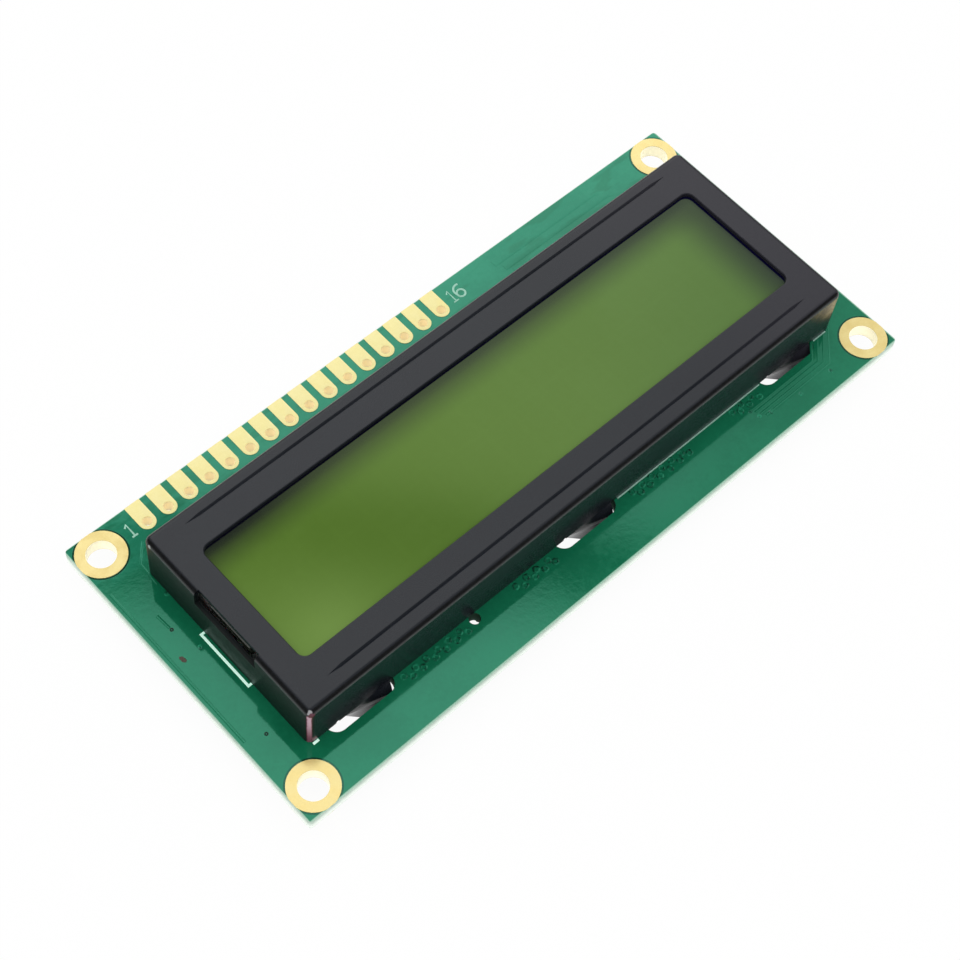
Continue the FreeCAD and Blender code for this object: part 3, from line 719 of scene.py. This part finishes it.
nodeFinishes = {
    "circuit_board": "solderMask", "mounting_hole_plating": "goldPlate", "header_pads": "padGold",
    "legend_marks": "legendInk", "bezel": "blackPaint", "front_polariser": "displayFilm",
    "front_glass": "clearGlass", "rear_glass": "clearGlass", "cell_seal": "sealResin",
    "liquid_crystal": "liquidLayer", "end_seal": "endResinPaintedShade", "rear_polariser": "rearFilm",
    "diffuser_film": "whiteFilm", "reflector_sheet": "whiteFilm", "light_guide": "guideAcrylic",
    "backlight_tray": "trayPlastic", "led_board": "ledBoard", "led_bodies": "ledPackage",
    "backlight_leads": "brightTin", "lead_pads": "goldPlate", "lead_solder": "brightTin",
    "elastomer_strip_front": "stripRubber", "elastomer_strip_rear": "stripRubber",
    "strip_contacts": "goldPlate", "controller_blob": "blackResin", "driver_blob": "blackResin",
    "controller_die": "bareSilicon", "driver_die": "bareSilicon", "resistor_bodies": "resistorGlaze",
    "resistor_caps": "brightTin", "capacitor_bodies": "capacitorCeramic", "capacitor_caps": "brightTin",
}
for nodeName, finishName in nodeFinishes.items():
    thing = nodes[nodeName]
    if not thing.material_slots:
        thing.data.materials.append(finishes[finishName])
    for slot in thing.material_slots:
        slot.material = finishes[finishName]
print("finishes placed on", len(nodeFinishes), "nodes")


# copper lines under the solder mask, seen as low ridges

def drawStrokes(paths, width, rise, level):
    # flat ridges along straight runs: a round bevelled line, made a mesh and pressed flat
    clearSelection()
    bpy.ops.curve.primitive_nurbs_path_add(location=(0, 0, 0))
    line = bpy.context.object.data
    line.splines.clear()
    for path in paths:
        run = line.splines.new("POLY")
        run.points.add(len(path) - 1)
        for point, (x, y) in zip(run.points, path):
            point.co = (x * mm, y * mm, 0, 1)
    line.bevel_depth = width * mm / 2
    line.bevel_resolution = 2
    line.use_fill_caps = True
    bpy.ops.object.convert(target="MESH")
    ridge = bpy.context.object
    editWhole()
    bpy.ops.transform.resize(value=(1, 1, 2 * rise / width), center_override=(0, 0, 0))
    bpy.ops.transform.translate(value=(0, 0, level * mm))
    leaveEditing()
    return ridge


def strokePiece(name, paths, look, finishName):
    ridge = drawStrokes(paths, look["width"], look["rise"], look["level"])
    finishPiece(ridge, name, finishName, shaping["strokeAngle"])


def arcPoints(centre, radius, start, end, steps):
    turn = [math.radians(start + (end - start) * step / steps) for step in range(steps + 1)]
    return [(centre[0] + radius * math.cos(angle), centre[1] + radius * math.sin(angle)) for angle in turn]


# a bundle along the front that turns to the rear beside the bezel, and three single lines on the left
topTraces = {
    "width": 0.30, "rise": 0.018, "level": boardTop,
    "startX": 21.8, "startStep": 0.3, "rows": (-13.95, -14.42, -14.9, -15.4), "rowGap": 0.48,
    "turnX": 31.2, "turnShare": 0.9, "climb": 2.6, "climbShare": 0.4, "lean": 0.25, "endY": 4.0,
    "singles": (
        ((-39.45, 11.6), (-39.45, -8.2)),
        ((-33.7, 14.1), (-35.35, 12.3), (-35.45, 9.6)),
        ((-37.55, 7.0), (-37.45, 5.2)),
    ),
}


def topTracePaths():
    look = topTraces
    paths = []
    for index, y in enumerate(look["rows"]):
        shift = index * look["rowGap"]
        climb = look["climb"] + shift * look["climbShare"]
        turn = look["turnX"] + shift * look["turnShare"]
        start = look["startX"] + look["startStep"] * index
        end = (turn + climb + look["lean"], look["endY"])
        paths.append([(start, y), (turn, y), (turn + climb, y + climb), end])
    return paths + list(look["singles"])


strokePiece("copperRidges", topTracePaths(), topTraces, "solderMask")

# three wide lines along the rear that bend to the front at their right end
rearPour = {
    "width": 1.0, "rise": 0.016, "level": boardTop, "rows": (16.35, 15.3, 14.25), "baseY": 13.1,
    "startX": 14.2, "startStep": 0.6, "turnX": 30.6, "turnStep": 0.7,
    "before": 0.5, "after": 0.6, "fall": 1.1,
}
pourPaths = []
for index, y in enumerate(rearPour["rows"]):
    startX = rearPour["startX"] + rearPour["startStep"] * index
    endX = rearPour["turnX"] + rearPour["turnStep"] * index
    drop = y - rearPour["baseY"]
    fallen = (endX + drop * rearPour["after"], y - drop * rearPour["fall"])
    pourPaths.append([(startX, y), (endX - drop * rearPour["before"], y), fallen])
strokePiece("rearCopperRidges", pourPaths, rearPour, "solderMask")


# holes between the board faces: the solder mask covers most, mottled with painted glints and shade, and three
# stay open, drawn as discs of painted shadow

viaTop = {"lip": 0.05, "slope": 0.06}
viaShape = {"radius": 0.40, "depth": 0.10, "rim": 0.13, "rimRise": 0.045, "dip": 0.07, "sides": 18}


def makeVia(look):
    clearSelection()
    bpy.ops.mesh.primitive_cylinder_add(
        vertices=look["sides"], radius=look["radius"] * mm, depth=look["depth"] * mm,
    )
    via = bpy.context.object
    pickFaces(via, 2, 1)
    bpy.ops.mesh.inset(thickness=look["rim"] * mm, depth=look["rimRise"] * mm)
    bpy.ops.mesh.inset(thickness=viaTop["lip"] * mm, depth=0.0)
    bpy.ops.mesh.inset(thickness=viaTop["slope"] * mm, depth=-look["dip"] * mm)
    leaveEditing()
    return via


def viaPiece(name, look, places, finishName):
    finishPiece(copyTo(makeVia(look), places), name, finishName, shaping["smallPartAngle"])


viaRows = {
    "pitch": 1.38, "rows": (-12.80, -13.34), "groups": ((-24.2, 6), (-9.9, 4), (5.9, 6), (20.3, 3)),
    "jitter": 0.10, "lift": 0.04, "seed": 3, "level": boardTop - 0.036,
}
viaPlaces = []
chance = random.Random(viaRows["seed"])
for startX, count in viaRows["groups"]:
    for index in range(count):
        x = startX + viaRows["pitch"] * index
        for row, y in enumerate(viaRows["rows"]):
            shift = chance.uniform(-viaRows["jitter"], viaRows["jitter"])
            lift = chance.uniform(-viaRows["lift"], viaRows["lift"])
            viaPlaces.append((x + row * viaRows["pitch"] / 2 + shift, y + lift, viaRows["level"]))
viaPiece("tentedVias", viaShape, viaPlaces, "viaMaskGlintsAndShade")

loneVia = {
    "radius": 0.27, "depth": 0.10, "rim": 0.12, "rimRise": 0.012, "dip": 0.02, "sides": 18,
    "level": boardTop - 0.042,
    "places": (
        (-35.4, 8.2), (-36.5, 1.85), (27.35, -15.95), (31.8, -16.05),
        (21.8, -13.95), (22.1, -15.0), (23.4, -15.4),
    ),
}
openVia = {
    "radius": 0.20, "depth": 0.08, "rim": 0.05, "rimRise": 0.004, "dip": 0.03, "sides": 16,
    "level": 1.575, "places": ((-37.4, 4.97), (-37.46, -8.85), (35.9, -8.7)),
}
for name, look, finishName in (("loneVias", loneVia, "viaMaskGlintsAndShade"), ("openVias", openVia, "viaShadow")):
    viaPiece(name, look, [(x, y, look["level"]) for x, y in look["places"]], finishName)
print("copper ridges and", len(viaPlaces), "covered holes placed")


# printed pin numbers at the two ends of the header

pinNumbers = {
    "firstPinNumber": {"place": (-33.82, 15.8), "width": 0.20, "rise": 0.018, "level": boardTop},
    "lastPinOne": {"place": (8.1, 16.1), "width": 0.16, "rise": 0.018, "level": boardTop},
    "lastPinSix": {"place": (9.15, 16.15), "width": 0.22, "rise": 0.018, "level": boardTop},
}
oneShape = {"half": 0.76, "foot": 0.32}
sixShape = {
    "back": (0.20, 0.02), "backRadius": 0.72, "backTurn": (70, 180, 8), "joint": (-0.48, -0.30),
    "loop": (0.0, -0.36), "loopRadius": 0.46, "loopTurn": (180, 540, 16),
}


def strokeOne(x, y):
    half, foot = oneShape["half"], oneShape["foot"]
    stem = [(x - foot, y + half - foot), (x, y + half), (x, y - half)]
    return [stem, [(x - foot, y - half), (x + foot, y - half)]]


def strokeSix(x, y):
    back, joint, loop = ((x + sixShape[key][0], y + sixShape[key][1]) for key in ("back", "joint", "loop"))
    backRun = arcPoints(back, sixShape["backRadius"], *sixShape["backTurn"])
    return [backRun + [joint], arcPoints(loop, sixShape["loopRadius"], *sixShape["loopTurn"])]


for name, look in pinNumbers.items():
    digit = strokeSix if name == "lastPinSix" else strokeOne
    strokePiece(name, digit(*look["place"]), look, "thinInk")
print("pin numbers printed")


# a speck of flux on the mask

speckLook = {
    "place": (-38.5, 1.9, boardTop), "size": (0.22, 0.42, 0.03), "turn": 12,
    "lumps": 0.18, "uniform": 0.4, "normal": 0.5, "seed": 4,
}
clearSelection()
bpy.ops.mesh.primitive_ico_sphere_add(subdivisions=3, radius=mm)
speck = bpy.context.object
editWhole()
bpy.ops.transform.vertex_random(
    offset=speckLook["lumps"] * mm, uniform=speckLook["uniform"], normal=speckLook["normal"],
    seed=speckLook["seed"],
)
bpy.ops.transform.resize(value=speckLook["size"], center_override=(0, 0, 0))
leaveEditing()
speck = copyTo(speck, [speckLook["place"]], speckLook["turn"])
finishPiece(speck, "fluxSpeck", "fluxBrown", shaping["strokeAngle"])


# back of the board: copper lines, printed rings and solder at the chips

# each chip gives its centre and how far out the lines begin; each comb gives a first x and a count
backTraces = {
    "width": 0.30, "rise": 0.032, "level": 0.0,
    "controller": (-18.0, -1.0, 8.1), "driver": (14.0, -1.0, 7.1),
    "headerX": -32.0, "headerPitch": 2.54, "headerY": 14.4, "pins": (3, 11), "gather": 0.55,
    "leastReach": 0.1, "leastRun": 0.2,
    "busY": -4.6, "busPitch": 0.9, "busRows": 9, "jogs": (-0.24, 0.24), "jogFlat": 0.6, "jogEnd": 1.2,
    "combs": (("controller", -24.2, 10), ("driver", 8.6, 9)), "combPitch": 1.38, "combEnds": (-13.3, -12.7),
}


def backTracePaths():
    look = backTraces
    paths = []
    cx, cy, radius = look["controller"]
    for pin in range(*look["pins"]):
        x = look["headerX"] + look["headerPitch"] * pin
        targetX = cx + (x - cx) * look["gather"]
        landing = cy + math.sqrt(max(radius ** 2 - (targetX - cx) ** 2, look["leastReach"]))
        bend = max(landing + abs(x - targetX), landing + look["leastRun"])
        paths.append([(x, look["headerY"]), (x, bend), (targetX, landing)])
    dx, dy, driverRadius = look["driver"]
    for row in range(look["busRows"]):
        y = look["busY"] + row * look["busPitch"]
        left = cx + math.sqrt(radius ** 2 - (y - cy) ** 2)
        right = dx - math.sqrt(driverRadius ** 2 - (y - dy) ** 2)
        middle = (left + right) / 2
        flat, end, jogged = look["jogFlat"], look["jogEnd"], y + look["jogs"][row % 2]
        jog = [(middle - end, y), (middle - flat, jogged), (middle + flat, jogged), (middle + end, y)]
        paths.append([(left, y), *jog, (right, y)])
    for chip, firstX, count in look["combs"]:
        chipX, chipY, chipRadius = look[chip]
        for index in range(count):
            x = firstX + index * look["combPitch"]
            top = chipY - math.sqrt(chipRadius ** 2 - (x - chipX) ** 2)
            paths.append([(x, top), (x, look["combEnds"][index % 2])])
    return paths


powerLines = {
    "width": 0.9, "rise": 0.034, "level": 0.0,
    "paths": (
        ((34.0, 5.8), (34.4, 9.5), (34.4, 12.2), (33.1, 13.5), (9.2, 13.5), (7.6, 15.0)),
        ((33.2, -5.4), (31.5, -7.0), (31.5, -8.4), (28.5, -9.4), (23.0, -9.4)),
        ((-38.3, 11.5), (-38.3, -11.6)),
    ),
}
blobRings = {
    "width": 0.22, "rise": 0.018, "level": 0.0, "turn": (0, 360, 64),
    "rings": ((-18.0, -1.0, 7.85), (14.0, -1.0, 6.85)),
}
ringPaths = [arcPoints((x, y), radius, *blobRings["turn"]) for x, y, radius in blobRings["rings"]]
strokePiece("backCopperRidges", backTracePaths(), backTraces, "solderMask")
strokePiece("backPowerRidges", powerLines["paths"], powerLines, "solderMask")
strokePiece("printedRings", ringPaths, blobRings, "legendInk")

chipSolder = {
    "length": 0.62, "width": 1.5, "height": 0.34, "reach": 1.12, "sunk": 0.01,
    "outerEnd": (1, 0.8, 0.18), "bevel": 0.07, "bevelSteps": 2,
    "resistors": [(-27.5 + 3.4 * index, 8.49) for index in range(8)] + [(30.0, -2.5), (30.0, 0.5)],
    "capacitors": [(8.5 + 4.2 * index, 8.49) for index in range(3)],
}


def makeFillet(look, side):
    # a low heap of solder whose outer end runs out flat on the board
    clearSelection()
    bpy.ops.mesh.primitive_cube_add(size=1)
    heap = bpy.context.object
    heap.scale = (look["length"] * mm, look["width"] * mm, look["height"] * mm)
    bpy.ops.object.transform_apply(location=True, rotation=True, scale=True)
    pickFaces(heap, 0, side)
    bpy.ops.transform.resize(value=look["outerEnd"], center_override=(0, 0, look["height"] * mm / 2))
    bpy.ops.mesh.select_all(action="SELECT")
    bpy.ops.mesh.bevel(offset=look["bevel"] * mm, segments=look["bevelSteps"], affect="EDGES")
    leaveEditing()
    return heap


for side, name in ((1, "chipSolderRight"), (-1, "chipSolderLeft")):
    places = [
        (x + side * chipSolder["reach"], y, -chipSolder["height"] / 2 + chipSolder["sunk"])
        for x, y in chipSolder["resistors"] + chipSolder["capacitors"]
    ]
    heaps = copyTo(makeFillet(chipSolder, side), places)
    finishPiece(heaps, name, "brightTin", shaping["smallPartAngle"])
print("back of the board dressed")


# floor, light and camera

# mirrorReach is in metres, as the path node gives it
studio = {
    "floorSize": 3.0, "floorHeight": -2.25, "floorGlow": 0.95, "floorColor": (0.88, 0.88, 0.88, 1),
    "mirrorReach": (0.0024, 0.0040),
    "fillStops": (0.25, 0.85), "fillLevels": (0.45, 1.40),
    "sideLevel": 0.15, "lowLevel": 0.7, "lowStops": (0.03, 0.16),
    "lampHeading": (0.767, 0.642), "lampSpread": (0.50, 0.80), "lampFade": (0.06, 0.24, 1.0, 0.42),
    "leastLength": 0.01,
    "glowHeading": (0.2822, 0.3229, 0.9035), "glowReach": 0.030, "glowLevel": 2.2,
    "lampStops": (
        (0.00, 0.45), (0.60, 1.2), (0.78, 1.5), (0.868, 1.5), (0.8750, 0.05), (0.885, 0.05),
        (0.893, 1.12), (0.900, 1.5), (0.938, 1.5), (0.958, 0.25), (1.0, 0.15),
    ),
}
white = (1, 1, 1, 1)


def makeFloor():
    # paper that the camera sees as white; shiny surfaces mirror its glow only where they are close to it
    clearSelection()
    bpy.ops.mesh.primitive_plane_add(size=studio["floorSize"], location=(0, 0, studio["floorHeight"] * mm))
    floor = bpy.context.object
    floor.name = "studioFloor"
    bpy.ops.object.transform_apply(location=True, rotation=True, scale=True)
    material = bpy.data.materials.new("floorPaper")
    material.use_nodes = True
    tree = material.node_tree
    tree.nodes.clear()
    paper = addNode(tree, "BsdfDiffuse", {"Color": studio["floorColor"]})
    glow = addNode(tree, "Emission", {"Color": white, "Strength": 1.0})
    path = tree.nodes.new("ShaderNodeLightPath").outputs
    nearby = fadeOut(tree, path["Ray Length"], *studio["mirrorReach"])
    seen = mathNode(tree, "MAXIMUM", path["Is Camera Ray"], path["Is Transmission Ray"])
    seen = mathNode(tree, "MAXIMUM", seen, times(tree, path["Is Glossy Ray"], nearby))
    share = times(tree, seen, studio["floorGlow"])
    blend = addNode(tree, "MixShader", {0: share, 1: paper.outputs[0], 2: glow.outputs[0]})
    output = tree.nodes.new("ShaderNodeOutputMaterial")
    tree.links.new(blend.outputs[0], output.inputs["Surface"])
    floor.data.materials.append(material)


def lampLight(tree, parts, heading):
    # the lamp's share of each direction, and its brightness by height, weaker to one side, with a bright spot
    ramp = addNode(tree, "ValToRGB", {0: parts[2]})
    stops = ramp.color_ramp
    stops.interpolation = "EASE"
    while len(stops.elements) > 1:
        stops.elements.remove(stops.elements[-1])
    for index, (position, level) in enumerate(studio["lampStops"]):
        stop = stops.elements[0] if index == 0 else stops.elements.new(position)
        stop.position = position
        stop.color = (level, level, level, 1)
    flatSquare = mathNode(tree, "SUBTRACT", 1.0, times(tree, parts[2], parts[2]), True)
    flatLength = mathNode(tree, "MAXIMUM", mathNode(tree, "SQRT", flatSquare), studio["leastLength"])
    east, north = studio["lampHeading"]
    facing = mathNode(tree, "ADD", times(tree, parts[0], east), times(tree, parts[1], north))
    sideways = mathNode(tree, "SUBTRACT", times(tree, parts[0], north), times(tree, parts[1], east))
    facing, sideways = (mathNode(tree, "DIVIDE", value, flatLength) for value in (facing, sideways))
    lamp = times(tree, ramp.outputs[0], rampTo(tree, sideways, *studio["lampFade"]))
    apart = apartFrom(tree, heading, studio["glowHeading"])
    spot = rampTo(tree, apart, 0.0, studio["glowReach"], studio["glowLevel"], 0.0)
    return rampTo(tree, facing, *studio["lampSpread"]), mathNode(tree, "ADD", lamp, spot)


def makeSky():
    # soft even light on matt surfaces; shiny ones mirror a broad lamp behind the object and a darker room
    world = bpy.data.worlds.new("studioSky")
    bpy.context.scene.world = world
    world.use_nodes = True
    tree = world.node_tree
    tree.nodes.clear()
    heading = tree.nodes.new("ShaderNodeTexCoord").outputs["Generated"]
    parts = addNode(tree, "SeparateXYZ", {0: heading}).outputs
    lampShare, lamp = lampLight(tree, parts, heading)
    room = rampTo(tree, parts[2], *studio["lowStops"], studio["lowLevel"], studio["sideLevel"])
    gloss = mixValue(tree, lampShare, room, lamp)
    path = tree.nodes.new("ShaderNodeLightPath").outputs
    fill = rampTo(tree, parts[2], *studio["fillStops"], *studio["fillLevels"])
    level = mixValue(tree, path["Is Glossy Ray"], fill, gloss)
    soft = addNode(tree, "Background", {"Color": white, "Strength": level})
    plain = addNode(tree, "Background", {"Color": white, "Strength": 1.0})
    seen = mathNode(tree, "MAXIMUM", path["Is Camera Ray"], path["Is Transmission Ray"])
    blend = addNode(tree, "MixShader", {0: seen, 1: soft.outputs[0], 2: plain.outputs[0]})
    output = tree.nodes.new("ShaderNodeOutputWorld")
    tree.links.new(blend.outputs[0], output.inputs["Surface"])


cameraView = {
    "azimuth": -50.0637,
    "elevation": 58.8916,
    "roll": 8.2374,
    "distance": 206.021,
    "target": (0.0, 0.0, boardTop),
    "lens": 77.497,
    "sensor": 36,
    "shift": (-0.02105, -0.0406),
    "clip": (0.01, 20),
}


def makeCamera():
    look = cameraView
    turn, lift, roll = (math.radians(look[key]) for key in ("azimuth", "elevation", "roll"))
    back = Vector((math.sin(turn) * math.cos(lift), -math.cos(turn) * math.cos(lift), math.sin(lift)))
    right = Vector((math.cos(turn), math.sin(turn), 0))
    up = back.cross(right)
    rolledRight = right * math.cos(roll) + up * math.sin(roll)
    rolledUp = up * math.cos(roll) - right * math.sin(roll)
    clearSelection()
    bpy.ops.object.camera_add()
    camera = bpy.context.object
    camera.name = "photoCamera"
    place = (Vector(look["target"]) + back * look["distance"]) * mm
    turned = Matrix((rolledRight, rolledUp, back)).transposed().to_4x4()
    camera.matrix_world = Matrix.Translation(place) @ turned
    camera.data.lens = look["lens"]
    camera.data.sensor_width = look["sensor"]
    camera.data.shift_x, camera.data.shift_y = look["shift"]
    camera.data.clip_start, camera.data.clip_end = look["clip"]
    bpy.context.scene.camera = camera


makeFloor()
makeSky()
makeCamera()
bpy.context.scene.view_settings.view_transform = "Standard"
print("studio ready")
